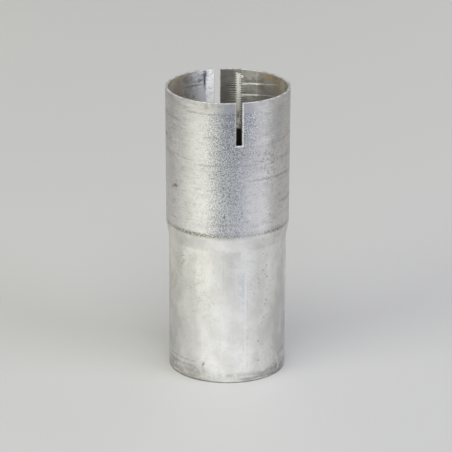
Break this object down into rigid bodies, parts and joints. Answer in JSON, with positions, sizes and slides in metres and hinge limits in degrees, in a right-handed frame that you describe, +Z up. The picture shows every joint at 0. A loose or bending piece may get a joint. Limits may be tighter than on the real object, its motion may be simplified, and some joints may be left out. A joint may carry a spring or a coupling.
{
  "type": "slotted pipe sleeve coupling",
  "caption": "Thin-walled steel sleeve that joins two pipes: a plain spigot below, a swaged socket with two clamping slots above.",
  "frame": {"origin": "centre of the spigot's end face, on the tube's axis", "axes": "+Z up the tube's axis towards the socket's mouth; the two clamping slots open on the -Y and +Y sides"},
  "size_m": [0.0796, 0.0796, 0.19],
  "materials": {
    "aluminised_sheet": "dull aluminised steel sheet with faint draw lines and forming marks",
    "weld_metal": "bright scarfed weld strip with fine cross ticks"
  },
  "bodies": {
    "root": {"tube_wall": "aluminised_sheet", "seam_weld": "weld_metal"}
  },
  "joints": []
}
